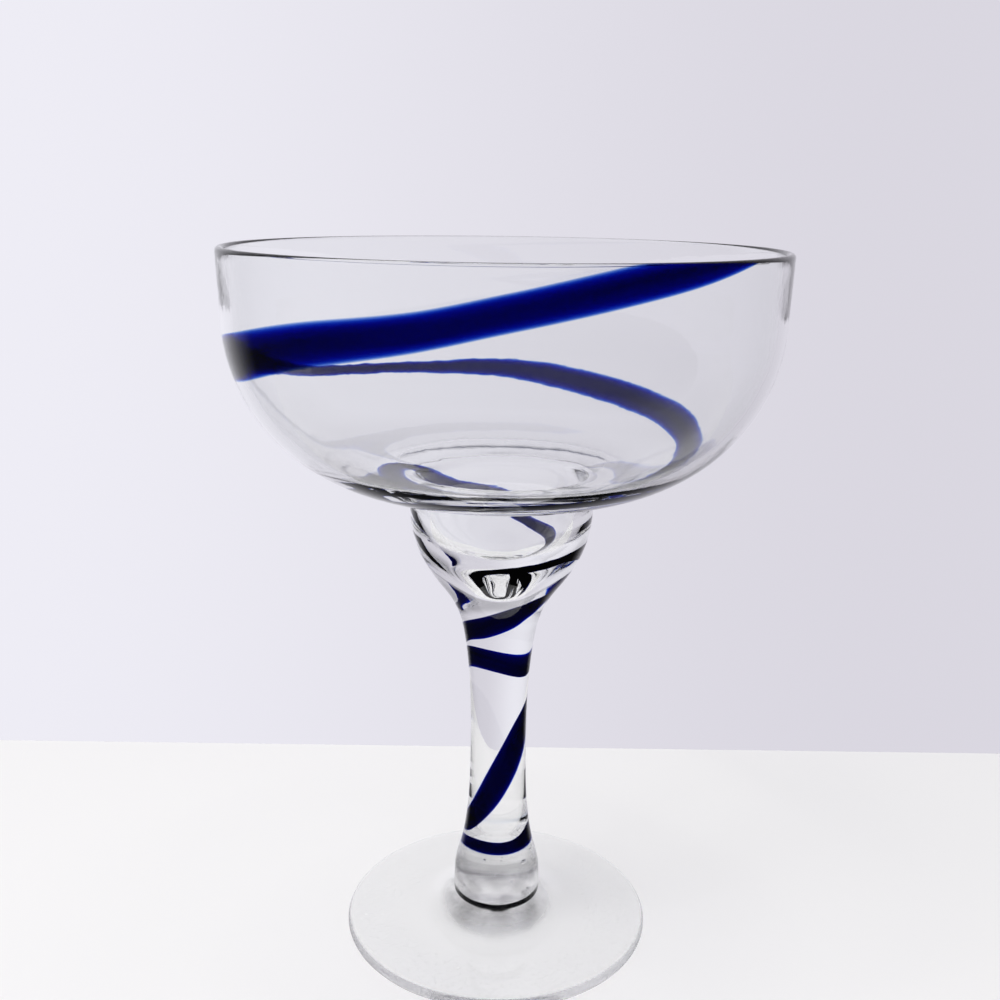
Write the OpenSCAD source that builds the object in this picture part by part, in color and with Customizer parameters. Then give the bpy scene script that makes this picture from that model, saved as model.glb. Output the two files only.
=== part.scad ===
// A blown margarita glass with one cobalt thread wound round it from the rim to the knop.
// The origin is the middle of the foot's underside and +Z is up, with the front towards -Y.
// The pieces stack up as foot, knop, stem, well and bowl, and each meets the next on a flat seat.
// The thread is marvered flush: it fills a groove in the glass and its outer face is the glass's.

/* [Foot] */
// Diameter of the round foot
foot_d = 80; // [70:0.5:90]
// Thickness of the foot at its round edge
foot_edge_t = 2.8; // [2:0.1:3.6]
// Height of the seat for the knop, on top of the foot's rise
foot_h = 8; // [6.5:0.1:10]
// Thickness of the foot where the rise begins
foot_t = 4.4; // [3.8:0.1:5.5]
// Diameter of the rise round the knop's seat
rise_d = 32; // [28:0.5:40]
// Diameter of the hollow under the foot
kick_d = 56; // [40:1:62]
// Height of that hollow in its middle
kick_h = 1.6; // [0.8:0.1:2.4]

/* [Knop] */
// Height of the solid knop
knop_h = 13.5; // [11:0.1:18]
// Widest diameter of the knop
knop_d = 22.8; // [21.6:0.1:26]
// Height of the knop's widest place over the foot's seat
knop_wide_h = 3.4; // [2.4:0.1:5]
// Diameter of the flat where the knop sits on the foot
knop_seat_d = 20.4; // [18:0.1:21]

/* [Stem] */
// Height of the stem, from the knop to the well
stem_h = 73.9; // [60:0.5:95]
// Diameter of the stem where it is thinnest
stem_d = 14.4; // [12:0.1:17]
// Diameter of the stem's base, on the knop
stem_base_d = 19.8; // [18.2:0.1:21]
// Diameter of the stem at the top of its taper, under the flare
stem_top_d = 18.8; // [17.6:0.1:21]
// Height of the flare that carries the well
flare_h = 11.5; // [9:0.1:14]

/* [Well] */
// Height of the well, the small thick cup under the bowl
well_h = 24.1; // [20:0.1:30]
// Diameter of the well at its top
well_d = 45.6; // [43:0.1:49]
// How far the well's side draws in, from its top to the neck on the stem's flare
neck_in = 7.9; // [6.5:0.1:9.3]
// Thickness of the well's wall at its mouth
mouth_wall_t = 3.7; // [3.2:0.1:5]
// Diameter of the well's hollow where its side turns in to the rounded tip
tip_d = 10; // [7:0.5:14]
// Height of that tip
tip_h = 2; // [1.2:0.1:3.5]
// Thickness of the well's glass between the tip and the stem's flare
well_floor_t = 0.8; // [0.6:0.1:4]

/* [Bowl] */
// Height of the bowl, from the well to the rim
bowl_h = 59; // [56:0.5:70]
// Diameter over the rim
rim_d = 133; // [128:0.5:140]
// How far the upright wall leans in, from the rim down to the turn
wall_lean = 0.5; // [0:0.1:1.5]
// Width of the last of the floor, from the end of the turn in to the well
floor_w = 1.2; // [0.8:0.1:3]
// Depth of the crease between the bowl's floor and the well
crease_h = 1.5; // [1:0.1:2.5]
// Thickness of the wall at the rim
rim_t = 2; // [1.8:0.1:2.6]
// Thickness of the wall in the turn and the floor
wall_t = 2.4; // [2:0.1:3]

/* [Thread] */
// Width of the thread that the width shares are taken of
thread_w = 11; // [8:0.5:12]
// How deep the thread lies in the bowl's wall
bowl_thread_t = 0.9; // [0.6:0.05:1.1]
// How deep it lies in the well
well_thread_t = 1.2; // [0.8:0.05:1.6]
// How deep it lies in the stem and the knop
stem_thread_t = 1.6; // [1:0.05:2]

/* [Hidden] */

clear_glass = [0.84, 0.92, 0.93, 0.45];
cobalt = [0.03, 0.07, 0.5];
$fn = 240;

// Heights of the seats, from the table up
knop_z = foot_h;
stem_z = knop_z + knop_h;
neck_z = stem_z + stem_h;
waist_z = neck_z + well_h;
rim_z = waist_z + bowl_h;

// The bowl's turn from the wall to the floor: its radius, its middle and its lower end
wall_r = rim_d / 2 - wall_lean;
floor_p = [well_d / 2 + floor_w, waist_z + crease_h];
bend_r = wall_r - floor_p[0];
bend_c = floor_p + [0, bend_r];

// Ends of the outer outline's curves, as [radius, height]
waist_p = [well_d / 2, waist_z];
neck_p = [well_d / 2 - neck_in, neck_z];
flare_p = [stem_top_d / 2, neck_z - flare_h];
slim_share = 0.44;
slim_p = [stem_d / 2, stem_z + slim_share * stem_h];
base_p = [stem_base_d / 2, stem_z];
seat_p = [knop_seat_d / 2, foot_h];

// Directions of the outline at those ends, in degrees from straight out
down = -90;
inwards = -180;
neck_way = -128;
flare_way = -102;
base_way = -74;
shoulder_way = -71;
mouth_way = -118;
well_way = -91;
tip_way = -141;

// Number of steps in a long curve, a short one and a round edge
long_steps = 12;
short_steps = 6;
edge_steps = 8;

// A point at a distance and a direction from the origin of the outline
function turned(reach, way) = reach * [cos(way), sin(way)];

// A smooth curve from p to q. It leaves p and reaches q in the given ways, and each share of
// their distance sets how long it holds that way.
function curve(p, p_way, p_share, q, q_way, q_share, steps) =
    let (d = norm(q - p), a = p + turned(p_share * d, p_way), b = q - turned(q_share * d, q_way))
    [for (i = [0:steps]) let (t = i / steps, u = 1 - t)
        u * u * u * p + 3 * u * u * t * a + 3 * u * t * t * b + t * t * t * q];

// An arc round c, from one direction to another
function arc(c, r, from, to, steps) = [for (i = [0:steps]) c + turned(r, from + (to - from) * i / steps)];

// The same points without the first, to follow on from another curve
function rest(points) = [for (i = [1:len(points) - 1]) points[i]];

// Outer outline of each piece, from its top down
rim_top = [rim_d / 2, rim_z];
bowl_skin = concat(
    [rim_top],
    arc(bend_c, bend_r, 0, down, 2 * long_steps),
    rest(curve(floor_p, inwards, 0.55, waist_p, down, 0.45, short_steps)));
well_skin = curve(waist_p, down, 0.355, neck_p, neck_way, 0.473, long_steps);
stem_skin = concat(
    curve(neck_p, neck_way, 0.51, flare_p, flare_way, 0.22, short_steps),
    rest(curve(flare_p, flare_way, 0.235, slim_p, down, 0.4, short_steps)),
    rest(curve(slim_p, down, 0.49, base_p, base_way, 0.223, edge_steps)));

// The knop's side, its lower edge and its widest place
knop_edge_r = (knop_d - knop_seat_d) / 2;
knop_wide_p = [knop_d / 2, knop_z + knop_wide_h];
knop_side = curve(base_p, shoulder_way, 0.35, knop_wide_p, down, 0.35, edge_steps);
knop_edge = arc([seat_p[0], knop_z + knop_edge_r], knop_edge_r, 0, down, short_steps);
knop_skin = concat(knop_side, knop_edge);

// Inner outline of the bowl and the well, from the rim down
bend_in_r = bend_r - wall_t;
bend_in_end = -60;
bend_in_p = bend_c + turned(bend_in_r, bend_in_end);
mouth_p = [well_d / 2 - mouth_wall_t, waist_z];
bowl_inside = concat(
    arc([rim_top[0] - rim_t / 2, rim_z - rim_t / 2], rim_t / 2, 0, 180, edge_steps),
    arc(bend_c, bend_in_r, 0, bend_in_end, 2 * edge_steps),
    rest(curve(bend_in_p, bend_in_end + down, 0.35, mouth_p, mouth_way, 0.24, long_steps)));
tip_p = [tip_d / 2, neck_z + well_floor_t + tip_h];
well_inside = concat(
    curve(mouth_p, well_way, 0.52, tip_p, tip_way, 0.38, long_steps),
    rest(curve(tip_p, tip_way, 0.4, [0, neck_z + well_floor_t], inwards, 0.3, short_steps)));

// The foot's outline: seat, top, round edge, resting ring and hollow
foot_edge_r = foot_edge_t / 2;
foot_edge_c = [foot_d / 2 - foot_edge_r, foot_edge_r];
seat_rim_t = foot_edge_t / 4;
foot_top_way = -4;
rise_way = -60;
rise_p = [rise_d / 2, foot_t];
foot_outline = concat(
    [[0, foot_h], seat_p],
    curve([knop_d / 2, foot_h - seat_rim_t / 2], rise_way, 0.3, rise_p, foot_top_way, 0.45, short_steps),
    rest(curve(rise_p, foot_top_way, 0.3,
        foot_edge_c + [0, foot_edge_r], foot_top_way, 0.4, short_steps)),
    rest(arc(foot_edge_c, foot_edge_r, -down, down, edge_steps)),
    curve([kick_d / 2, 0], inwards, 0.3, [0, kick_h], inwards, 0.4, long_steps));

// Length of an outline, from its point i on
function run(points, i = 1) =
    i >= len(points) ? 0 : norm(points[i] - points[i - 1]) + run(points, i + 1);

// The point at a distance s along an outline, and before or past its ends on the same line
function along(points, s, i = 1) =
    let (step = points[i] - points[i - 1], d = norm(step))
    s <= d || i == len(points) - 1 ? points[i - 1] + step * s / d : along(points, s - d, i + 1);

// The whole skin that the thread lies on, and how far each piece's part of it reaches
skin = concat(bowl_skin, rest(well_skin), rest(stem_skin), rest(knop_side));
bowl_run = run(bowl_skin);
well_run = run(well_skin);
stem_run = run(stem_skin);
knop_run = run(knop_side);
starts = [0, bowl_run, bowl_run + well_run, bowl_run + well_run + stem_run,
    bowl_run + well_run + stem_run + knop_run];

// The thread's path: degrees round the glass, clockwise from above from the right-hand side,
// then the place, where 0 is the rim, 1 the waist, 2 the neck, 3 the knop and 4 its lower edge,
// and the width up and down the glass as a share of thread_w.
thread_shares = [
    [36, -0.043, 0.55], [54, 0.01, 0.65], [70, 0.051, 0.71], [90, 0.11, 0.69], [105, 0.156, 0.72],
    [127, 0.205, 0.86], [150, 0.268, 1], [166, 0.301, 0.96], [180, 0.342, 0.78], [195, 0.392, 0.51],
    [208, 0.433, 0.34], [225, 0.453, 0.3], [250, 0.465, 0.4], [262, 0.467, 0.5], [275, 0.478, 0.65],
    [290, 0.507, 0.78], [310, 0.553, 0.82], [330, 0.597, 0.85], [352, 0.653, 0.8], [378, 0.713, 0.78],
    [410, 0.763, 0.76], [450, 0.816, 0.73], [480, 0.853, 0.69], [510, 0.895, 0.65], [540, 0.954, 0.55],
    [570, 1.107, 0.52], [600, 1.289, 0.43], [630, 1.42, 0.37], [648, 1.55, 0.42], [664, 1.66, 0.45],
    [690, 1.745, 0.5], [720, 1.855, 0.46], [740, 1.975, 0.52], [760, 2.035, 0.6], [773, 2.055, 0.66],
    [784, 2.075, 0.68], [796, 2.09, 0.69], [830, 2.13, 0.6], [867, 2.165, 0.51], [930, 2.24, 0.54],
    [990, 2.31, 0.57], [1050, 2.41, 0.75], [1080, 2.48, 1], [1110, 2.54, 1.25], [1139, 2.607, 1.4],
    [1177, 2.716, 1.29], [1223, 2.844, 0.86], [1247, 2.888, 0.6], [1270, 2.913, 0.36],
    [1300, 2.933, 0.16], [1350, 2.943, 0.13], [1400, 2.938, 0.15], [1422, 2.934, 0.32],
    [1440, 2.933, 0.5], [1460, 2.936, 0.5], [1485, 2.946, 0.37], [1512, 2.952, 0.31],
    [1570, 2.953, 0.3], [1600, 2.962, 0.27], [1628, 2.978, 0.24], [1655, 3.0, 0.18], [1672, 3.02, 0.1]];

// Value of one column of the path at a turn, on a smooth line through its rows
function slope(k, c) =
    let (a = thread_shares[max(k - 1, 0)], b = thread_shares[min(k + 1, len(thread_shares) - 1)])
    (b[c] - a[c]) / (b[0] - a[0]);
function path(turn, c, k = 0) =
    turn > thread_shares[k + 1][0] && k < len(thread_shares) - 2 ? path(turn, c, k + 1)
    : let (a = thread_shares[k], b = thread_shares[k + 1], d = b[0] - a[0], t = (turn - a[0]) / d)
        (1 + 2 * t) * (1 - t) * (1 - t) * a[c] + t * (1 - t) * (1 - t) * d * slope(k, c)
        + t * t * (3 - 2 * t) * b[c] - t * t * (1 - t) * d * slope(k + 1, c);

// Distance along the skin of a place
function reach(place) =
    let (k = max(0, min(3, floor(place))))
    starts[k] + (place - k) * (starts[k + 1] - starts[k]);

// The thread's cross-section, a lens: places across its width from -1 to 1, each with its depth
// from 0, the glass's surface, to 1, the full thickness. Its two last points stand proud.
proud = 0.6;
section_steps = 8;
edge_share = 0.2;
section_shares = concat(
    [for (i = [0:section_steps]) let (a = 2 * i / section_steps - 1)
        [a, edge_share + (1 - edge_share) * sqrt(1 - a * a)]],
    [[1, 0], [-1, 0]]);

// Turn of each ring, and its two edges as distances along the skin
ring_step = 8;
first_turn = thread_shares[0][0];
last_turn = thread_shares[len(thread_shares) - 1][0];
rings = floor((last_turn - first_turn) / ring_step);
function ring_turn(k) = first_turn + ring_step * k;
middles = [for (k = [0:rings]) reach(path(ring_turn(k), 1))];
halves = [for (k = [0:rings]) path(ring_turn(k), 2) * thread_w / 2];

// One ring of the thread, as points in space
function ring(k, thick) =
    [for (p = section_shares)
        let (
            s = middles[k] + p[0] * halves[k],
            here = along(skin, s),
            ahead = along(skin, s + proud) - here,
            out = [-ahead[1], ahead[0]] / norm(ahead),
            deep = p[1] == 0 ? -proud : p[1] * thick,
            q = here - deep * out
        )
        [q[0] * cos(ring_turn(k)), -q[0] * sin(ring_turn(k)), q[1]]];

// The stretch of thread on one piece of the glass, with a ring or two past each end
module thread(piece, thick) {
    near = [for (k = [0:rings])
        if (middles[k] + halves[k] > starts[piece] - thread_w / 4
            && middles[k] - halves[k] < starts[piece + 1] + thread_w / 4) k];
    last_near = near[len(near) - 1];
    sides = len(section_shares);
    points = [for (k = [near[0]:last_near]) each ring(k, thick)];
    first = [for (j = [0:sides - 1]) j];
    last = [for (j = [0:sides - 1]) len(points) - 1 - j];
    skin_faces = [for (k = [0:last_near - near[0] - 1]) for (j = [0:sides - 1])
        let (a = k * sides + j, b = k * sides + (j + 1) % sides)
        each [[a, a + sides, b + sides], [a, b + sides, b]]];
    polyhedron(points, concat([first, last], skin_faces));
}

// Solid of revolution from a closed outline
module spun(outline) {
    rotate_extrude() polygon(outline);
}

function backwards(points) = [for (i = [len(points) - 1:-1:0]) points[i]];

module knop_glass() {
    spun(concat([[0, stem_z]], knop_skin, [[0, knop_z]]));
}

module stem_glass() {
    spun(concat([[0, neck_z]], stem_skin, [[0, stem_z]]));
}

module well_glass() {
    spun(concat(well_skin, [[0, neck_z]], backwards(well_inside)));
}

module bowl_glass() {
    spun(concat(rest(bowl_skin), backwards(bowl_inside)));
}

// The foot: a spun disc on a resting ring, with a shallow hollow under it
module foot() {
    color(clear_glass) spun(foot_outline);
}

// The knop: a solid button between the foot and the stem
module knop() {
    color(clear_glass) difference() {
        knop_glass();
        thread(3, stem_thread_t);
    }
}

// The stem: solid, drawn out slim, with a flare under the well
module stem() {
    color(clear_glass) difference() {
        stem_glass();
        thread(2, stem_thread_t);
    }
}

// The well: a small thick cup, open to the bowl
module well() {
    color(clear_glass) difference() {
        well_glass();
        thread(1, well_thread_t);
    }
}

// The bowl: a wide thin-walled dish with an upright side, open into the well
module bowl() {
    color(clear_glass) difference() {
        bowl_glass();
        thread(0, bowl_thread_t);
    }
}

// The end of the thread, in the knop
module knop_trail() {
    color(cobalt) intersection() {
        knop_glass();
        thread(3, stem_thread_t);
    }
}

// The thread round the stem
module stem_trail() {
    color(cobalt) intersection() {
        stem_glass();
        thread(2, stem_thread_t);
    }
}

// The thread round the well
module well_trail() {
    color(cobalt) intersection() {
        well_glass();
        thread(1, well_thread_t);
    }
}

// The thread round the bowl, which starts over the rim
module bowl_trail() {
    color(cobalt) intersection() {
        bowl_glass();
        thread(0, bowl_thread_t);
    }
}

foot();
knop();
stem();
well();
bowl();
knop_trail();
stem_trail();
well_trail();
bowl_trail();
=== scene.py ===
import math

import bpy
from bpy.props import FloatProperty, FloatVectorProperty, IntProperty, PointerProperty
from mathutils import Matrix, Vector


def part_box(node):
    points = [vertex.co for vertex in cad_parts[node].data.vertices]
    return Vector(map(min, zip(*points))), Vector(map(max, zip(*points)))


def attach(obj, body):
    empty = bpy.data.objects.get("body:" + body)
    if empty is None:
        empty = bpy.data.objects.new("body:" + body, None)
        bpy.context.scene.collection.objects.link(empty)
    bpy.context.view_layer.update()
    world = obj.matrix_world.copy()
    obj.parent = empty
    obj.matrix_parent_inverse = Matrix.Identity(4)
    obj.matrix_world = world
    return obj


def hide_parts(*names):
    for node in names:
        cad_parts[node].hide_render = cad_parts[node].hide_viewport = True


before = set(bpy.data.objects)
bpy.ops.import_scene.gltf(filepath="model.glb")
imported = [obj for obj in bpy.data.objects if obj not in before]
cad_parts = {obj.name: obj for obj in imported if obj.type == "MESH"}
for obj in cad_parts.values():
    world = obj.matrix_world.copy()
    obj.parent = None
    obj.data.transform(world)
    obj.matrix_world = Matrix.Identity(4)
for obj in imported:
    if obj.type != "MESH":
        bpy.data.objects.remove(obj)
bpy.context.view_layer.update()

bl_info = {
    "name": "Margarita glass",
    "version": (1, 0, 0),
    "blender": (4, 5, 0),
    "location": "View3D > Sidebar > Margarita glass",
    "description": "Blows the glass, lays the cobalt thread and sets the studio around it",
    "category": "Add Mesh",
}

MM = 0.001
CLOUD_COLOUR = (0.45, 0.45, 0.45, 1)
# Near-black colour of the painted shade in the crease between the knop and the foot
CREASE_SHADE_COLOUR = (0.01, 0.01, 0.012, 1)
# How softly the edges of the painted shade in the crease end, in millimetres
CREASE_BLUR = 0.3
BOWL_LOW, BOWL_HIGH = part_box("bowl")
WELL_LOW, WELL_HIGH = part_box("well")
STEM_LOW, STEM_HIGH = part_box("stem")
KNOP_LOW, KNOP_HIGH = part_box("knop")
FOOT_LOW, FOOT_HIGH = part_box("foot")

# Directions along the outline, in degrees from straight out
DOWN = -90
INWARDS = -180
NECK_WAY = -128
FLARE_WAY = -102
BASE_WAY = -74
SHOULDER_WAY = -71
MOUTH_WAY = -106
WELL_WAY = -91
TIP_WAY = -141
RISE_WAY = -24
FOOT_WAY = -4
RISE_SHARES = (0.3, 0.45)

# The thread's path: degrees round the glass, clockwise from above from the right-hand side, then the
# place, where 0 is the rim, 1 the waist, 2 the neck, 3 the knop and 4 its lower edge, and the width
THREAD_ROWS = [
    (36, -0.043, 0.55), (54, 0.01, 0.65), (70, 0.051, 0.71), (90, 0.11, 0.69), (105, 0.156, 0.72),
    (127, 0.205, 0.86), (150, 0.268, 1), (166, 0.301, 0.96), (180, 0.342, 0.78), (195, 0.392, 0.51),
    (208, 0.433, 0.34), (225, 0.453, 0.3), (250, 0.465, 0.4), (262, 0.467, 0.5), (275, 0.478, 0.65),
    (290, 0.507, 0.78), (310, 0.553, 0.82), (330, 0.597, 0.85), (352, 0.653, 0.8), (378, 0.713, 0.78),
    (410, 0.763, 0.76), (450, 0.816, 0.73), (480, 0.853, 0.69), (510, 0.895, 0.65), (540, 0.954, 0.55),
    (570, 1.107, 0.52), (600, 1.289, 0.43), (630, 1.42, 0.37), (648, 1.55, 0.42), (664, 1.66, 0.45),
    (690, 1.745, 0.5), (720, 1.855, 0.46), (740, 1.975, 0.52), (760, 2.035, 0.6), (773, 2.055, 0.66),
    (784, 2.075, 0.68), (796, 2.09, 0.69), (830, 2.13, 0.6), (867, 2.165, 0.51), (930, 2.24, 0.54),
    (990, 2.31, 0.57), (1050, 2.41, 0.75), (1080, 2.48, 1), (1110, 2.54, 1.25), (1139, 2.607, 1.4),
    (1177, 2.716, 1.29), (1223, 2.844, 0.86), (1247, 2.888, 0.6), (1270, 2.913, 0.36),
    (1300, 2.933, 0.16), (1350, 2.943, 0.13), (1400, 2.938, 0.15), (1422, 2.934, 0.32),
    (1440, 2.933, 0.5), (1460, 2.936, 0.5), (1485, 2.946, 0.37), (1512, 2.952, 0.31),
    (1570, 2.953, 0.3), (1600, 2.962, 0.27), (1628, 2.978, 0.24), (1655, 3.0, 0.18), (1672, 3.02, 0.1),
]


class Value:
    """A number that a node gives out. Sums on it add the nodes that work them out."""

    def __init__(self, net, socket):
        self.net = net
        self.socket = socket

    def maths(self, operation, *others, clamp=False):
        values = dict(enumerate((self, *others)))
        return self.net.add("ShaderNodeMath", {"operation": operation, "use_clamp": clamp}, values)[0]

    def __add__(self, other):
        return self.maths("ADD", other)

    def __radd__(self, other):
        return self.maths("ADD", other)

    def __sub__(self, other):
        return self.maths("SUBTRACT", other)

    def __rsub__(self, other):
        return self.net.add("ShaderNodeMath", {"operation": "SUBTRACT"}, {0: other, 1: self})[0]

    def __mul__(self, other):
        return self.maths("MULTIPLY", other)

    def __rmul__(self, other):
        return self.maths("MULTIPLY", other)

    def __truediv__(self, other):
        return self.maths("DIVIDE", other)

    def __neg__(self):
        return self.maths("MULTIPLY", -1)

    def __pow__(self, other):
        return self.maths("POWER", other)

    def at_least(self, other):
        return self.maths("MAXIMUM", other)

    def at_most(self, other):
        return self.maths("MINIMUM", other)

    def sqrt(self):
        return self.at_least(0).maths("SQRT")

    def sine(self):
        return self.maths("SINE")

    def cosine(self):
        return self.maths("COSINE")

    def above(self, other):
        return self.maths("GREATER_THAN", other)

    def step(self, low, high, start=0, end=1):
        """Runs smoothly from start to end as the value goes from low to high."""
        settings = {"interpolation_type": "SMOOTHSTEP"}
        sockets = {0: self, 1: low, 2: high, 3: start, 4: end}
        return self.net.add("ShaderNodeMapRange", settings, sockets)[0]


class Net:
    """The nodes of one material, world or shape."""

    def __init__(self, tree):
        self.tree = tree
        tree.nodes.clear()

    def add(self, kind, settings=None, sockets=None):
        """Adds a node, sets it, fills its sockets, and gives its outputs."""
        node = self.tree.nodes.new(kind)
        for name, setting in (settings or {}).items():
            setattr(node, name, setting)
        for key, value in (sockets or {}).items():
            if isinstance(value, Value):
                self.tree.links.new(value.socket, node.inputs[key])
            else:
                node.inputs[key].default_value = value
        return Outputs(self, node)


class Outputs:
    """The outputs of a node, by place or by name."""

    def __init__(self, net, node):
        self.net = net
        self.node = node

    def __getitem__(self, key):
        return Value(self.net, self.node.outputs[key])


def turned(reach, way):
    """A step in a direction of the outline, given in degrees from straight out."""
    return Vector((reach * math.cos(math.radians(way)), reach * math.sin(math.radians(way))))


def curve(p, p_way, p_share, q, q_way, q_share, steps):
    """A smooth curve from p to q that leaves and arrives in the given ways."""
    d = (q - p).length
    a, b = p + turned(p_share * d, p_way), q - turned(q_share * d, q_way)
    points = []
    for i in range(steps + 1):
        t = i / steps
        u = 1 - t
        points.append(u * u * u * p + 3 * u * u * t * a + 3 * u * t * t * b + t * t * t * q)
    return points


def arc(c, r, start, end, steps):
    """An arc round c, from one direction to another."""
    return [c + turned(r, start + (end - start) * i / steps) for i in range(steps + 1)]


def rounded(before, corner, after, r, steps=5):
    """A small curve in place of a sharp corner of the outline."""
    to_before, to_after = (before - corner).normalized(), (after - corner).normalized()
    p, q = corner + r * to_before, corner + r * to_after
    points = []
    for i in range(steps + 1):
        t = i / steps
        points.append((1 - t) * (1 - t) * p + 2 * t * (1 - t) * corner + t * t * q)
    return points


class Outline:
    """The glass's outline: each stretch of its outer skin, its inside and its foot."""

    def __init__(self, s):
        rim = Vector((BOWL_HIGH.x, BOWL_HIGH.z))
        waist = Vector((WELL_HIGH.x, BOWL_LOW.z))
        neck = Vector((STEM_HIGH.x, WELL_LOW.z))
        flare = Vector((s.stem_top_d / 2, neck.y - s.flare_h))
        stem_z = STEM_LOW.z
        slim = Vector((s.stem_d / 2, stem_z + s.slim_share * (neck.y - stem_z)))
        base = Vector((s.stem_base_d / 2, stem_z))
        floor_end = waist + Vector((s.floor_w, s.crease_h))
        bend_r = rim.x - s.wall_lean - floor_end.x
        bend = floor_end + Vector((0, bend_r))

        # Outer skin, from the top of the rim's round edge down
        rim_r = s.rim_t / 2
        self.rim_edge = arc(rim - Vector((rim_r, rim_r)), rim_r, 90, 0, 8)
        wall_top = bend + Vector((bend_r, 0))
        wall = [rim - Vector((0, rim_r)) + (wall_top - rim + Vector((0, rim_r))) * i / 8 for i in range(1, 9)]
        self.bowl = wall + arc(bend, bend_r, 0, DOWN, 48)[1:]
        self.bowl += curve(floor_end, INWARDS, 0.55, waist, DOWN, 0.45, 8)[1:]
        self.well = curve(waist, DOWN, 0.355, neck, NECK_WAY, 0.473, 28)[1:]
        self.stem = curve(neck, NECK_WAY, 0.51, flare, FLARE_WAY, 0.22, 14)[1:]
        self.stem += curve(flare, FLARE_WAY, 0.235, slim, DOWN, 0.4, 14)[1:]
        self.stem += curve(slim, DOWN, 0.49, base, BASE_WAY, 0.223, 16)[1:]
        knop_r, seat_r, knop_z = KNOP_HIGH.x, s.knop_seat_d / 2, KNOP_LOW.z
        edge_r = knop_r - seat_r
        wide = Vector((knop_r, knop_z + s.knop_wide_h))
        self.knop = curve(base, SHOULDER_WAY, 0.35, wide, DOWN, 0.35, 14)[1:]
        self.knop_edge = arc(Vector((seat_r, knop_z + edge_r)), edge_r, 0, DOWN, 8)

        # The foot's top, round edge, resting ring and hollow
        foot_r, foot_h = FOOT_HIGH.x, FOOT_HIGH.z
        edge = s.foot_edge_t / 2
        edge_c = Vector((foot_r - edge, edge))
        seat_drop = s.foot_edge_t / 8
        rise = Vector((s.rise_d / 2, s.foot_t))
        self.foot = curve(Vector((knop_r, foot_h - seat_drop)), RISE_WAY, RISE_SHARES[0],
                          rise, FOOT_WAY, RISE_SHARES[1], 10)
        self.foot += curve(rise, FOOT_WAY, 0.3, edge_c + Vector((0, edge)), FOOT_WAY, 0.4, 12)[1:]
        self.foot += arc(edge_c, edge, 90, DOWN, 12)[1:]
        ring = Vector((s.kick_d / 2, 0))
        self.under = curve(ring, INWARDS, 0.3, Vector((0, s.kick_h)), INWARDS, 0.4, 18)
        self.foot += [self.foot[-1] + (ring - self.foot[-1]) * i / 4 for i in (1, 2, 3)]

        # Inside, from the top of the rim down to the bottom of the well
        in_r = bend_r - s.wall_t
        in_end = -52
        in_p = bend + turned(in_r, in_end)
        mouth = waist - Vector((s.mouth_wall_t, 0))
        self.inside = arc(rim - Vector((rim_r, rim_r)), rim_r, 90, 180, 8)[1:]
        in_top, in_low = self.inside[-1], bend + turned(in_r, 0)
        self.inside += [in_top + (in_low - in_top) * i / 8 for i in range(1, 8)]
        self.inside += arc(bend, in_r, 0, in_end, 36)
        self.inside += curve(in_p, in_end + DOWN, 0.35, mouth, MOUTH_WAY, 0.3, 20)[1:]
        bottom = Vector((0, neck.y + s.well_floor_t))
        tip = bottom + Vector((s.tip_d / 2, s.tip_h))
        self.inside += curve(mouth, WELL_WAY, 0.52, tip, TIP_WAY, 0.38, 28)[1:]
        self.inside += curve(tip, TIP_WAY, 0.4, bottom, INWARDS, 0.3, 12)[1:]

    def skin(self):
        """The whole outer skin that the thread lies on, down to the knop's widest place."""
        return self.rim_edge + self.bowl + self.well + self.stem + self.knop

    def closed(self):
        """The whole outline, from the well's bottom over the rim and down to the foot's hollow."""
        crease = self.knop_edge[-1]
        foot_start = self.foot[0]
        fused = rounded(self.knop_edge[-2], crease, foot_start, 0.35 * MM)
        points = self.inside[::-1] + self.skin() + self.knop_edge[:-1] + fused + self.foot + self.under
        kept = [points[0]]
        for p in points[1:]:
            if (p - kept[-1]).length > 0.02 * MM:
                kept.append(p)
        return kept


def run(points):
    return sum((b - a).length for a, b in zip(points, points[1:]))


def finish_mesh(mesh, material):
    mesh.materials.clear()
    mesh.materials.append(material)
    mesh.polygons.foreach_set("use_smooth", [True] * len(mesh.polygons))
    mesh.update()


def put_in_place(name, mesh, nodes):
    """Adds a finished piece under the root body, in place of its CAD nodes, which it hides."""
    piece = bpy.data.objects.new(name, mesh)
    bpy.context.scene.collection.objects.link(piece)
    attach(piece, "root")
    if nodes:
        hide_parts(*nodes)
    return piece


def plain_mesh(name, holder):
    """The shape that the holder's nodes make, as a mesh of its own. The holder is removed."""
    graph = bpy.context.evaluated_depsgraph_get()
    mesh = bpy.data.meshes.new_from_object(holder.evaluated_get(graph), depsgraph=graph)
    mesh.name = name
    bpy.data.objects.remove(holder)
    return mesh


def grow(holder, tree, values):
    """Puts the nodes on the holder and sets their named inputs."""
    modifier = holder.modifiers.new(tree.name, "NODES")
    modifier.node_group = tree
    for item in tree.interface.items_tree:
        if item.item_type == "SOCKET" and item.in_out == "INPUT" and item.name in values:
            modifier[item.identifier] = values[item.name]
    bpy.context.view_layer.update()


def shape_tree(name, inputs):
    """An empty tree for a shape, with its named inputs."""
    tree = bpy.data.node_groups.new(name, "GeometryNodeTree")
    tree.interface.new_socket("Geometry", in_out="INPUT", socket_type="NodeSocketGeometry")
    for label, kind in inputs.items():
        tree.interface.new_socket(label, in_out="INPUT", socket_type=kind)
    tree.interface.new_socket("Geometry", in_out="OUTPUT", socket_type="NodeSocketGeometry")
    return tree


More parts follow.
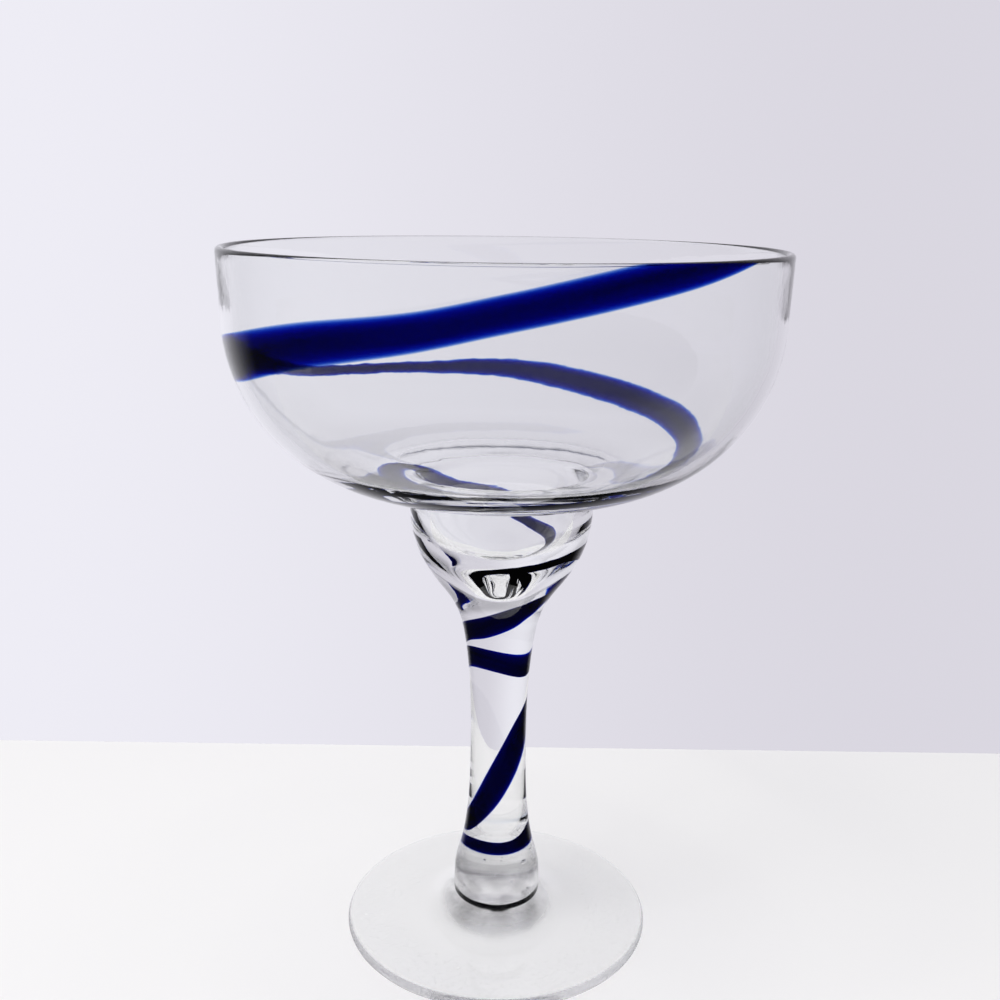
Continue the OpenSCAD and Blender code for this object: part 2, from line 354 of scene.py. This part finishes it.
def polyline(name, points):
    """A curve object through the points, which is removed once a shape has read it."""
    data = bpy.data.curves.new(name, "CURVE")
    data.dimensions = "3D"
    spline = data.splines.new("POLY")
    spline.points.add(len(points) - 1)
    spline.points.foreach_set("co", [c for p in points for c in (*p, 1)])
    line = bpy.data.objects.new(name, data)
    bpy.context.scene.collection.objects.link(line)
    return line


def principled(net, sockets, volume=None, shade=None):
    """Ends a material in its shader. Lamps shine through it where it has a shade, the light it passes."""
    shader = net.add("ShaderNodeBsdfPrincipled", sockets=sockets)["BSDF"]
    if shade:
        path = net.add("ShaderNodeLightPath")
        lit = (path["Is Shadow Ray"] + path["Is Diffuse Ray"]).at_most(1)
        through = net.add("ShaderNodeBsdfTransparent", sockets={"Color": (*shade, 1)})["BSDF"]
        shader = net.add("ShaderNodeMixShader", sockets={0: lit, 1: shader, 2: through})[0]
    ends = {"Surface": shader}
    if volume:
        ends["Volume"] = volume
    net.add("ShaderNodeOutputMaterial", sockets=ends)


def new_material(name):
    material = bpy.data.materials.new(name)
    material.use_nodes = True
    return material, Net(material.node_tree)


def clear_glass(look):
    """Clear blown glass: polished and softly rippled, cloudy at the knop, and worn where it rests, with a
    near-black painted shade in the crease between the knop and the foot.
    """
    material, net = new_material("clear_glass")
    here = net.add("ShaderNodeTexCoord")["Object"]
    x, y, z = (net.add("ShaderNodeSeparateXYZ", sockets={0: here})[i] for i in range(3))
    r = (x * x + y * y).sqrt()
    ripple = net.add("ShaderNodeTexNoise", sockets={"Vector": here, "Scale": 45, "Detail": 1.5})[0]
    skin = net.add("ShaderNodeTexNoise", sockets={"Vector": here, "Scale": 240, "Detail": 2})[0]
    pinched = net.add("ShaderNodeTexNoise", sockets={"Vector": here, "Scale": 190, "Detail": 2})[0]
    worked = z.step(KNOP_LOW.z - 3 * MM, KNOP_LOW.z - 0.5 * MM)
    worked = worked * z.step(KNOP_HIGH.z - 5 * MM, KNOP_HIGH.z, 1, 0) * r.step(14 * MM, 18 * MM, 1, 0)
    height = ripple + skin * 0.12 + worked * pinched * look.knop_ripple
    bump = net.add("ShaderNodeBump", sockets={
        "Strength": look.ripple, "Distance": 0.4 * MM, "Height": height})[0]
    scuffs = net.add("ShaderNodeTexNoise", sockets={"Vector": here, "Scale": 900, "Detail": 3})[0]
    worn = z.step(0.05 * MM, 0.3 * MM, 1, 0) * scuffs.step(0.35, 0.7)
    frayed = r + (pinched - 0.5) * 4 * MM
    pontil = z.step(2.4 * MM, 3 * MM, 1, 0) * frayed.step(8 * MM, look.pontil_r * MM, 1, 0)
    # Painted shade: a near-black band in the crease between the knop and the foot, lifted at the sides,
    # wandering up and down, full at the front and faint at the back
    lift = x * x / (KNOP_HIGH.x * KNOP_HIGH.x)
    above = (z - KNOP_LOW.z) / MM - lift * look.crease_lift + (pinched - 0.5) * look.crease_wander
    low, high = look.crease_low, look.crease_high
    crease = r.step(9 * MM, 9.4 * MM) * r.step(11.8 * MM, 12.4 * MM, 1, 0)
    crease = crease * above.step(low, low + CREASE_BLUR) * above.step(high, high + CREASE_BLUR, 1, 0)
    crease = crease * y.step(-1 * MM, 3 * MM, 1, 0.15)
    cloud = worked * pinched.step(0.3, 0.7) * look.cloud
    tint = net.add("ShaderNodeMix", {"data_type": "RGBA"}, {
        "Factor": cloud, "A": (*look.glass_colour, 1), "B": CLOUD_COLOUR})
    # Mixes the painted shade of the crease into the glass's colour
    tint = net.add("ShaderNodeMix", {"data_type": "RGBA"}, {
        "Factor": crease * look.crease, "A": Value(net, tint.node.outputs[2]), "B": CREASE_SHADE_COLOUR})
    principled(net, {
        "Base Color": Value(net, tint.node.outputs[2]),
        # Metallic where the crease's painted shade lies, so that it shows in its near-black colour
        "Metallic": crease * look.crease,
        "Roughness": worn * 0.28 + worked * (1 - crease) * look.knop_rough + pontil * look.pontil,
        "IOR": 1.5,
        "Transmission Weight": 1,
        "Normal": bump,
    }, shade=(1, 1, 1))
    return material


def cobalt_glass(look):
    """Cobalt glass laid in the clear: its depth of colour comes from its thickness."""
    material, net = new_material("cobalt_glass")
    body = net.add("ShaderNodeVolumeAbsorption", sockets={
        "Color": (*look.cobalt_colour, 1), "Density": look.cobalt_depth})[0]
    principled(net, {
        "Base Color": (1, 1, 1, 1),
        "Roughness": 0,
        "IOR": 1,
        "Transmission Weight": 1,
    }, body, shade=(0.5, 0.55, 0.85))
    return material


def seed_glass(look):
    """The skin of a small bubble, which the glass round it turns into a mirror."""
    material, net = new_material("seed_glass")
    here = net.add("ShaderNodeTexCoord")["Object"]
    mottle = net.add("ShaderNodeTexNoise", sockets={"Vector": here, "Scale": 700, "Detail": 1})[0]
    principled(net, {
        "Base Color": (0.9, 0.91, 0.92, 1),
        "Metallic": 1,
        "Roughness": mottle * 0.3,
    })
    return material


class GlassSizes(bpy.types.PropertyGroup):
    rim_t: FloatProperty(name="Rim", description="Thickness of the wall at the rim",
                         default=2 * MM, min=1 * MM, max=4 * MM, unit="LENGTH", precision=4)
    wall_t: FloatProperty(name="Wall", description="Thickness of the bowl's turn and floor",
                          default=2.4 * MM, min=1.5 * MM, max=4 * MM, unit="LENGTH", precision=4)
    wall_lean: FloatProperty(name="Lean", description="How far the wall leans in from the rim to the turn",
                             default=0.5 * MM, min=0, max=3 * MM, unit="LENGTH", precision=4)
    floor_w: FloatProperty(name="Floor", description="Width of the last of the floor, in to the well",
                           default=1.2 * MM, min=0.5 * MM, max=4 * MM, unit="LENGTH", precision=4)
    crease_h: FloatProperty(name="Crease", description="Depth of the crease between the bowl and the well",
                            default=1.5 * MM, min=0.5 * MM, max=4 * MM, unit="LENGTH", precision=4)
    mouth_wall_t: FloatProperty(name="Well's wall", description="Thickness of the well's wall at its mouth",
                                default=3.7 * MM, min=2 * MM, max=7 * MM, unit="LENGTH", precision=4)
    tip_d: FloatProperty(name="Tip", description="Diameter where the well's hollow turns in to its tip",
                         default=10 * MM, min=5 * MM, max=16 * MM, unit="LENGTH", precision=4)
    tip_h: FloatProperty(name="Tip's height", description="Height of that rounded tip",
                         default=2 * MM, min=1 * MM, max=5 * MM, unit="LENGTH", precision=4)
    well_floor_t: FloatProperty(name="Well's floor", description="Height of the tip over the stem's flare",
                                default=0.8 * MM, min=0.4 * MM, max=8 * MM, unit="LENGTH", precision=4)
    flare_h: FloatProperty(name="Flare", description="Height of the flare that carries the well",
                           default=11.5 * MM, min=5 * MM, max=20 * MM, unit="LENGTH", precision=4)
    stem_top_d: FloatProperty(name="Stem's top", description="Diameter of the stem under the flare",
                              default=18.8 * MM, min=12 * MM, max=24 * MM, unit="LENGTH", precision=4)
    stem_d: FloatProperty(name="Stem", description="Diameter of the stem where it is thinnest",
                          default=14.4 * MM, min=8 * MM, max=20 * MM, unit="LENGTH", precision=4)
    stem_base_d: FloatProperty(name="Stem's base", description="Diameter of the stem on the knop",
                               default=19.8 * MM, min=12 * MM, max=22 * MM, unit="LENGTH", precision=4)
    slim_share: FloatProperty(name="Waist of the stem", description="Height of the thinnest place as a share",
                              default=0.44, min=0.2, max=0.8, subtype="FACTOR")
    knop_wide_h: FloatProperty(name="Knop's widest place", description="Its height over the foot's seat",
                               default=3.4 * MM, min=2 * MM, max=6 * MM, unit="LENGTH", precision=4)
    knop_seat_d: FloatProperty(name="Knop's seat", description="Diameter of the knop where it meets the foot",
                               default=20.4 * MM, min=12 * MM, max=22 * MM, unit="LENGTH", precision=4)
    foot_edge_t: FloatProperty(name="Foot's edge", description="Thickness of the foot at its edge",
                               default=2.8 * MM, min=1 * MM, max=5 * MM, unit="LENGTH", precision=4)
    foot_t: FloatProperty(name="Foot", description="Thickness of the foot where its rise begins",
                          default=3.8 * MM, min=3 * MM, max=6 * MM, unit="LENGTH", precision=4)
    rise_d: FloatProperty(name="Rise", description="Diameter of the foot's rise round the knop's seat",
                          default=44 * MM, min=24 * MM, max=60 * MM, unit="LENGTH", precision=4)
    kick_d: FloatProperty(name="Hollow", description="Diameter of the hollow under the foot",
                          default=56 * MM, min=20 * MM, max=70 * MM, unit="LENGTH", precision=4)
    kick_h: FloatProperty(name="Hollow's height", description="Height of the hollow under the foot",
                          default=1.6 * MM, min=0.2 * MM, max=3 * MM, unit="LENGTH", precision=4)


class ThreadSizes(bpy.types.PropertyGroup):
    width: FloatProperty(name="Width", description="Width that the path's widths are shares of",
                         default=11 * MM, min=4 * MM, max=16 * MM, unit="LENGTH", precision=4)
    bowl_depth: FloatProperty(name="Depth in the bowl", description="Thickness of the thread in the bowl",
                              default=1.1 * MM, min=0.2 * MM, max=1.5 * MM, unit="LENGTH", precision=4)
    bowl_edge: FloatProperty(name="Edge in the bowl",
                             description="How slowly the thread thickens from its edges",
                             default=1.2, min=0.2, max=3)
    stem_depth: FloatProperty(name="Depth in the stem", description="Thickness of the thread in the stem",
                              default=1.6 * MM, min=0.4 * MM, max=2.4 * MM, unit="LENGTH", precision=4)
    cover: FloatProperty(name="Cover", description="Clear glass over the thread",
                         default=0.04 * MM, min=0.01 * MM, max=0.3 * MM, unit="LENGTH", precision=5)
    rings: IntProperty(name="Rings", description="Number of cross-sections along the thread",
                       default=900, min=200, max=3000)
    sides: IntProperty(name="Sides", description="Number of points round a cross-section",
                       default=40, min=12, max=96)


class GlassLook(bpy.types.PropertyGroup):
    glass_colour: FloatVectorProperty(name="Clear glass", description="Tint of the clear glass",
                                      default=(0.99, 0.995, 0.995), min=0, max=1, subtype="COLOR")
    ripple: FloatProperty(name="Ripple", description="Strength of the ripples in the glass",
                          default=0.25, min=0, max=1, subtype="FACTOR")
    cobalt_colour: FloatVectorProperty(name="Cobalt", description="Colour that the cobalt glass lets through",
                                       default=(0.092, 0.396, 0.856), min=0, max=1, subtype="COLOR")
    cobalt_depth: FloatProperty(name="Depth of colour",
                                description="How fast the cobalt glass darkens, per metre",
                                default=17000, min=0, max=100000)
    knop_ripple: FloatProperty(name="Knop's ripple",
                               description="How much stronger the ripples are at the knop",
                               default=1.5, min=0, max=8)
    cloud: FloatProperty(name="Knop's cloud", description="How much the knop's worked skin greys the glass",
                         default=1, min=0, max=1, subtype="FACTOR")
    knop_rough: FloatProperty(name="Knop's haze", description="Roughness of the knop's worked skin",
                              default=0.18, min=0, max=1, subtype="FACTOR")
    pontil: FloatProperty(name="Pontil mark", description="Roughness of the mark under the foot's middle",
                          default=0.5, min=0, max=1, subtype="FACTOR")
    pontil_r: FloatProperty(name="Pontil mark's radius", description="Where the mark ends, in millimetres",
                            default=18, min=0, max=30)
    # The crease settings darken and place a painted shade band in the crease between the knop and the foot
    crease: FloatProperty(name="Crease", description="How dark the crease between the knop and the foot is",
                          default=1, min=0, max=1, subtype="FACTOR")
    crease_low: FloatProperty(name="Crease from",
                              description="Lower edge over the knop's seat, in millimetres",
                              default=-0.3, min=-3, max=5)
    crease_high: FloatProperty(name="Crease to",
                               description="Upper edge over the knop's seat, in millimetres",
                               default=1.9, min=-3, max=5)
    crease_lift: FloatProperty(name="Crease's lift",
                               description="How much higher it lies at the sides, in millimetres",
                               default=0.7, min=-3, max=5)
    crease_wander: FloatProperty(name="Crease's wander",
                                 description="How far it wanders up and down, in millimetres",
                                 default=0.6, min=0, max=5)
    seeds: IntProperty(name="Seeds", description="Number of small bubbles in the knop",
                       default=26, min=0, max=400)
    floor_colour: FloatVectorProperty(name="Floor", description="Colour of the floor",
                                      default=(0.87, 0.86, 0.87), min=0, max=1, subtype="COLOR")


class BlowGlass(bpy.types.Operator):
    """Turns the outline round into the clear glass, as one fused body"""

    bl_idname = "margarita.blow_glass"
    bl_label = "Blow the glass"

    segments = 288

    def execute(self, context):
        points = Outline(context.scene.margarita_sizes).closed()
        rows = points[1:-1]
        verts = [(0, 0, points[0].y)]
        for p in rows:
            for k in range(self.segments):
                a = 2 * math.pi * k / self.segments
                verts.append((p.x * math.cos(a), p.x * math.sin(a), p.y))
        verts.append((0, 0, points[-1].y))
        n, last = self.segments, len(verts) - 1
        faces = [(0, 1 + k, 1 + (k + 1) % n) for k in range(n)]
        for i in range(len(rows) - 1):
            a, b = 1 + i * n, 1 + (i + 1) * n
            faces += [(a + k, b + k, b + (k + 1) % n, a + (k + 1) % n) for k in range(n)]
        end = 1 + (len(rows) - 1) * n
        faces += [(last, end + (k + 1) % n, end + k) for k in range(n)]
        mesh = bpy.data.meshes.new("blown_glass")
        mesh.from_pydata(verts, [], faces)
        finish_mesh(mesh, clear_glass(context.scene.margarita_look))
        put_in_place("blown_glass", mesh, ("foot", "knop", "stem", "well", "bowl"))
        return {"FINISHED"}


class LayThread(bpy.types.Operator):
    """Lays the cobalt thread in the skin of the glass, from the rim down to the knop"""

    bl_idname = "margarita.lay_thread"
    bl_label = "Lay the thread"

    # Half widths in millimetres between which a thread drawn out on the stem loses its body
    drawn_out = (1.2, 1.7)

    def path(self, outline, width):
        """The thread's path as a line: turn in radians, distance along the skin, half width."""
        rows = THREAD_ROWS
        starts = [0]
        rim_r = outline.rim_edge[-1]
        first = run([rim_r] + outline.bowl) + (BOWL_HIGH.z - rim_r.y)
        for length in (first, run(outline.bowl[-1:] + outline.well), run(outline.well[-1:] + outline.stem),
                       run(outline.stem[-1:] + outline.knop)):
            starts.append(starts[-1] + length)

        def slope(k, c):
            a, b = rows[max(k - 1, 0)], rows[min(k + 1, len(rows) - 1)]
            return (b[c] - a[c]) / (b[0] - a[0])

        def reach(place):
            k = max(0, min(3, math.floor(place)))
            return starts[k] + (place - k) * (starts[k + 1] - starts[k])

        points = []
        for k, (a, b) in enumerate(zip(rows, rows[1:])):
            d = b[0] - a[0]
            steps = max(2, round(d / 1.5))
            for i in range(steps + (k == len(rows) - 2)):
                t = i / steps
                at = [(1 + 2 * t) * (1 - t) ** 2 * a[c] + t * (1 - t) ** 2 * d * slope(k, c)
                      + t * t * (3 - 2 * t) * b[c] - t * t * (1 - t) * d * slope(k + 1, c) for c in (1, 2)]
                points.append((math.radians(a[0] + t * d), reach(at[0]), at[1] * width / 2))
        return points, starts

    def tree(self):
        """Nodes that set rings of the thread's cross-section on the skin, along the path."""
        tree = shape_tree("thread_shape", {
            "Skin": "NodeSocketObject", "Rings": "NodeSocketInt", "Sides": "NodeSocketInt",
            "Skin starts": "NodeSocketFloat", "Bowl ends": "NodeSocketFloat",
            "Stem starts": "NodeSocketFloat", "Bowl depth": "NodeSocketFloat",
            "Bowl edge": "NodeSocketFloat", "Stem depth": "NodeSocketFloat", "Cover": "NodeSocketFloat",
            "Material": "NodeSocketMaterial"})
        net = Net(tree)
        given = net.add("NodeGroupInput")
        line = net.add("GeometryNodeCurvePrimitiveLine")["Curve"]
        line = net.add("GeometryNodeResampleCurve", sockets={"Curve": line, "Count": given["Rings"]})["Curve"]
        place = net.add("GeometryNodeSplineParameter")["Factor"]
        kept_line = self.capture(net, line, place)
        circle = net.add("GeometryNodeCurvePrimitiveCircle", sockets={"Resolution": given["Sides"]})["Curve"]
        index = net.add("GeometryNodeInputIndex")[0]
        kept_circle = self.capture(net, circle, index)
        tube = net.add("GeometryNodeCurveToMesh", sockets={
            "Curve": kept_line[0], "Profile Curve": kept_circle[0], "Fill Caps": True})["Mesh"]
        angle = (kept_circle[1] + 0.5) / given["Sides"] * (2 * math.pi)
        across, under = angle.cosine(), (-angle.sine()).above(0)

        at = net.add("GeometryNodeSampleCurve", {"mode": "FACTOR"}, {
            "Curves": given["Geometry"], "Factor": kept_line[1]})["Position"]
        at = net.add("ShaderNodeSeparateXYZ", sockets={0: at})
        turn, reach, half = at[0], at[1], at[2]
        skin = net.add("GeometryNodeObjectInfo", sockets={"Object": given["Skin"]})["Geometry"]
        length = (reach + across * half - given["Skin starts"]).at_least(0.1 * MM)
        on_skin = net.add("GeometryNodeSampleCurve", {"mode": "LENGTH"}, {"Curves": skin, "Length": length})
        here = net.add("ShaderNodeSeparateXYZ", sockets={0: on_skin["Position"]})
        along = net.add("ShaderNodeSeparateXYZ", sockets={0: on_skin["Tangent"]})

        streak_at = net.add("ShaderNodeCombineXYZ", sockets={0: turn * 0.8, 1: across * 2.2, 2: 0})[0]
        streak = net.add("ShaderNodeTexNoise", sockets={"Vector": streak_at, "Scale": 1.6, "Detail": 2})[0]
        full = reach.step(given["Bowl ends"], given["Stem starts"], 0, 1)
        body = (1 - across * across).at_least(0) ** (given["Bowl edge"] + full * (0.35 - given["Bowl edge"]))
        toe = (1 - (across * across)).at_least(0) * across.step(0.1, 0.9, 0, 0.18)
        depth = given["Bowl depth"] + full * (given["Stem depth"] - given["Bowl depth"])
        drawn = 1 - full * (half / MM).step(*self.drawn_out, 0.997, 0)
        thick = depth * drawn * (body * (0.7 + 0.5 * streak) + toe)
        deep = given["Cover"] + under * thick
        r = here[0] + along[2] * deep
        z = here[2] - along[0] * deep
        spot = net.add("ShaderNodeCombineXYZ", sockets={0: r * turn.cosine(), 1: -(r * turn.sine()), 2: z})[0]
        laid = net.add("GeometryNodeSetPosition", sockets={"Geometry": tube, "Position": spot})[0]
        laid = net.add("GeometryNodeRealizeInstances", sockets={"Geometry": laid})[0]
        laid = net.add("GeometryNodeSetMaterial", sockets={
            "Geometry": laid, "Material": given["Material"]})[0]
        net.add("NodeGroupOutput", sockets={"Geometry": laid})
        return tree

    def capture(self, net, geometry, value):
        """Keeps a value on the points of a curve, and gives the curve and the value."""
        node = net.tree.nodes.new("GeometryNodeCaptureAttribute")
        node.domain = "POINT"
        node.capture_items.new("FLOAT", "Kept")
        net.tree.links.new(geometry.socket, node.inputs[0])
        net.tree.links.new(value.socket, node.inputs[1])
        return Value(net, node.outputs[0]), Value(net, node.outputs[1])

    def execute(self, context):
        sizes = context.scene.margarita_thread
        outline = Outline(context.scene.margarita_sizes)
        points, starts = self.path(outline, sizes.width)
        holder = polyline("thread_path", points)
        skin = polyline("thread_skin", [(p.x, 0, p.y) for p in outline.skin()])
        rim_r = outline.rim_edge[-1]
        material = cobalt_glass(context.scene.margarita_look)
        grow(holder, self.tree(), {
            "Skin": skin, "Rings": sizes.rings, "Sides": sizes.sides,
            "Skin starts": (BOWL_HIGH.z - rim_r.y) - run(outline.rim_edge),
            "Bowl ends": starts[1] - 2 * MM, "Stem starts": starts[2] + 4 * MM,
            "Bowl depth": sizes.bowl_depth, "Bowl edge": sizes.bowl_edge, "Stem depth": sizes.stem_depth,
            "Cover": sizes.cover, "Material": material})
        mesh = plain_mesh("cobalt_thread", holder)
        bpy.data.objects.remove(skin)
        finish_mesh(mesh, material)
        put_in_place("cobalt_thread", mesh, ("bowl_trail", "well_trail", "stem_trail", "knop_trail"))
        return {"FINISHED"}


class SowSeeds(bpy.types.Operator):
    """Scatters the small bubbles that the knop trapped when it was gathered"""

    bl_idname = "margarita.sow_seeds"
    bl_label = "Sow the seeds"

    def tree(self):
        """Nodes that scatter small balls in an upright round space."""
        tree = shape_tree("seeds_shape", {
            "Count": "NodeSocketInt", "Seed": "NodeSocketInt", "Reach": "NodeSocketFloat",
            "Low": "NodeSocketFloat", "High": "NodeSocketFloat", "Smallest": "NodeSocketFloat",
            "Largest": "NodeSocketFloat", "Material": "NodeSocketMaterial"})
        net = Net(tree)
        given = net.add("NodeGroupInput")

        def between(low, high, more):
            sockets = {2: low, 3: high, "Seed": given["Seed"] + more}
            return net.add("FunctionNodeRandomValue", {"data_type": "FLOAT"}, sockets)[1]

        turn, share = between(0, 2 * math.pi, 0), between(0, 1, 1)
        rise = between(given["Low"], given["High"], 2)
        r = given["Reach"] * share.sqrt()
        spot = net.add("ShaderNodeCombineXYZ", sockets={0: r * turn.cosine(), 1: r * turn.sine(), 2: rise})[0]
        spots = net.add("GeometryNodePoints", sockets={"Count": given["Count"], "Position": spot})[0]
        ball = net.add("GeometryNodeMeshUVSphere", sockets={"Segments": 8, "Rings": 6, "Radius": 1.0})["Mesh"]
        size = between(0, 1, 3) ** 3 * (given["Largest"] - given["Smallest"]) + given["Smallest"]
        sown = net.add("GeometryNodeInstanceOnPoints", sockets={
            "Points": spots, "Instance": ball, "Scale": size})[0]
        sown = net.add("GeometryNodeRealizeInstances", sockets={"Geometry": sown})[0]
        sown = net.add("GeometryNodeSetMaterial", sockets={
            "Geometry": sown, "Material": given["Material"]})[0]
        net.add("NodeGroupOutput", sockets={"Geometry": sown})
        return tree

    def execute(self, context):
        look = context.scene.margarita_look
        material = seed_glass(look)
        holder = bpy.data.objects.new("seeds", bpy.data.meshes.new("seeds"))
        bpy.context.scene.collection.objects.link(holder)
        grow(holder, self.tree(), {
            "Count": look.seeds, "Seed": 7, "Reach": KNOP_HIGH.x - 2.6 * MM, "Low": KNOP_LOW.z + 1 * MM,
            "High": KNOP_HIGH.z - 1 * MM, "Smallest": 0.1 * MM, "Largest": 0.6 * MM, "Material": material})
        mesh = plain_mesh("seeds", holder)
        finish_mesh(mesh, material)
        put_in_place("seeds", mesh, ())
        return {"FINISHED"}


class SetStage(bpy.types.Operator):
    """Sets the floor, the backdrop, the soft lamps and the camera"""

    bl_idname = "margarita.set_stage"
    bl_label = "Set the stage"

    # The dark side in front, for rays that the glass reflects: how squarely a ray must meet it to
    # see it start and be full, and how much wider it is than that
    front = (0, 0.5)
    wider = 0.85
    # How dark the front is for rays that come through the glass
    front_through = 0.1
    # The backdrop dims with height: from and to, as the slope of a ray, then the two strengths
    sky = (0.2, 0.5, 1, 0.6)
    # Light bounces, which the many layers of glass need
    bounces = 24

    def floor(self, look):
        mesh = bpy.data.meshes.new("floor")
        x, near, far = 0.9, -1.2, 0.099
        z = -0.3 * MM
        mesh.from_pydata([(-x, near, z), (x, near, z), (x, far, z), (-x, far, z)], [], [(0, 1, 2, 3)])
        material, net = new_material("floor")
        here = net.add("ShaderNodeTexCoord")["Object"]
        grain = net.add("ShaderNodeTexNoise", sockets={"Vector": here, "Scale": 600, "Detail": 2})[0]
        bump = net.add("ShaderNodeBump", sockets={"Strength": 0.1, "Distance": 0.1 * MM, "Height": grain})[0]
        principled(net, {"Base Color": (*look.floor_colour, 1), "Roughness": 0.5, "Normal": bump})
        mesh.materials.append(material)
        floor = bpy.data.objects.new("floor", mesh)
        floor.visible_glossy = False
        bpy.context.scene.collection.objects.link(floor)

    def lamp(self, name, place, aim, size, power, colour=(1, 1, 1)):
        data = bpy.data.lights.new(name, "AREA")
        data.shape = "RECTANGLE"
        data.size, data.size_y = size
        data.energy = power
        data.color = colour
        lamp = bpy.data.objects.new(name, data)
        lamp.visible_glossy = lamp.visible_transmission = lamp.visible_camera = False
        way = Vector(aim) - Vector(place)
        lamp.matrix_world = Matrix.Translation(place) @ way.to_track_quat("-Z", "Y").to_matrix().to_4x4()
        bpy.context.scene.collection.objects.link(lamp)

    def world(self):
        world = bpy.data.worlds.new("studio")
        bpy.context.scene.world = world
        world.use_nodes = True
        net = Net(world.node_tree)
        way = net.add("ShaderNodeTexCoord")["Generated"]
        x, y, z = (net.add("ShaderNodeSeparateXYZ", sockets={0: way})[i] for i in range(3))
        side = net.add("ShaderNodeMix", {"data_type": "RGBA"}, {
            "Factor": x.step(-0.45, 0.35), "A": (0.86, 0.85, 0.92, 1), "B": (0.70, 0.68, 0.75, 1)})
        pale = Value(net, side.node.outputs[2])
        path = net.add("ShaderNodeLightPath")
        through = path["Is Transmission Ray"]
        mirrored = path["Is Glossy Ray"] * (1 - through)
        facing = (y * 0.966 + z * 0.26) * -1
        front = mirrored * (facing + self.wider).step(*self.front, 0, 0.97)
        front = front + through * facing.step(*self.front, 0, self.front_through)
        dark = z.step(*self.sky) * (1 - front)
        seen = net.add("ShaderNodeBackground", sockets={"Color": pale, "Strength": dark})[0]
        light = net.add("ShaderNodeBackground", sockets={"Color": (1, 1, 1, 1), "Strength": 0.55})[0]
        shown = (path["Is Camera Ray"] + path["Is Glossy Ray"] + path["Is Transmission Ray"]).at_most(1)
        mixed = net.add("ShaderNodeMixShader", sockets={0: shown, 1: light, 2: seen})[0]
        net.add("ShaderNodeOutputWorld", sockets={"Surface": mixed})

    def camera(self):
        data = bpy.data.cameras.new("camera")
        data.sensor_width = 36
        data.lens = 41.897
        data.clip_start, data.clip_end = 0.01, 20
        camera = bpy.data.objects.new("camera", data)
        bpy.context.scene.collection.objects.link(camera)
        pitch, roll = math.radians(14.84), math.radians(0.774)
        ahead = Vector((0, math.cos(pitch), -math.sin(pitch)))
        right, up = Vector((1, 0, 0)), Vector((0, math.sin(pitch), math.cos(pitch)))
        x = math.cos(roll) * right + math.sin(roll) * up
        y = math.cos(roll) * up - math.sin(roll) * right
        turn = Matrix((x, y, -ahead)).transposed().to_4x4()
        camera.matrix_world = Matrix.Translation((-0.0004, -0.2793, 0.1909)) @ turn
        bpy.context.scene.camera = camera

    def execute(self, context):
        scene = context.scene
        scene.view_settings.view_transform = "Standard"
        cycles = scene.cycles
        cycles.max_bounces = cycles.transmission_bounces = cycles.glossy_bounces = self.bounces
        self.floor(scene.margarita_look)
        self.world()
        self.lamp("key", (-0.7, -0.5, 1.2), (0, 0, 0.1), (0.8, 0.8), 9)
        self.lamp("top", (0.1, 0.1, 1.4), (0, 0, 0), (0.7, 0.5), 5)
        self.camera()
        return {"FINISHED"}


class MargaritaPanel(bpy.types.Panel):
    """Lists the glass's pieces and their sizes"""

    bl_idname = "MARGARITA_PT_glass"
    bl_label = "Margarita glass"
    bl_space_type = "VIEW_3D"
    bl_region_type = "UI"
    bl_category = "Margarita glass"

    def draw(self, context):
        scene = context.scene
        for operator, groups in ((BlowGlass, (scene.margarita_sizes,)),
                                 (LayThread, (scene.margarita_thread,)),
                                 (SowSeeds, ()), (SetStage, (scene.margarita_look,))):
            box = self.layout.box()
            box.operator(operator.bl_idname)
            for group in groups:
                for name in group.__annotations__:
                    box.prop(group, name)


CLASSES = (GlassSizes, ThreadSizes, GlassLook, BlowGlass, LayThread, SowSeeds, SetStage, MargaritaPanel)


def register():
    for cls in CLASSES:
        bpy.utils.register_class(cls)
    bpy.types.Scene.margarita_sizes = PointerProperty(type=GlassSizes)
    bpy.types.Scene.margarita_thread = PointerProperty(type=ThreadSizes)
    bpy.types.Scene.margarita_look = PointerProperty(type=GlassLook)


def unregister():
    del bpy.types.Scene.margarita_look
    del bpy.types.Scene.margarita_thread
    del bpy.types.Scene.margarita_sizes
    for cls in reversed(CLASSES):
        bpy.utils.unregister_class(cls)


def main():
    register()
    bpy.ops.margarita.blow_glass()
    bpy.ops.margarita.lay_thread()
    bpy.ops.margarita.sow_seeds()
    bpy.ops.margarita.set_stage()


if __name__ == "__main__":
    main()
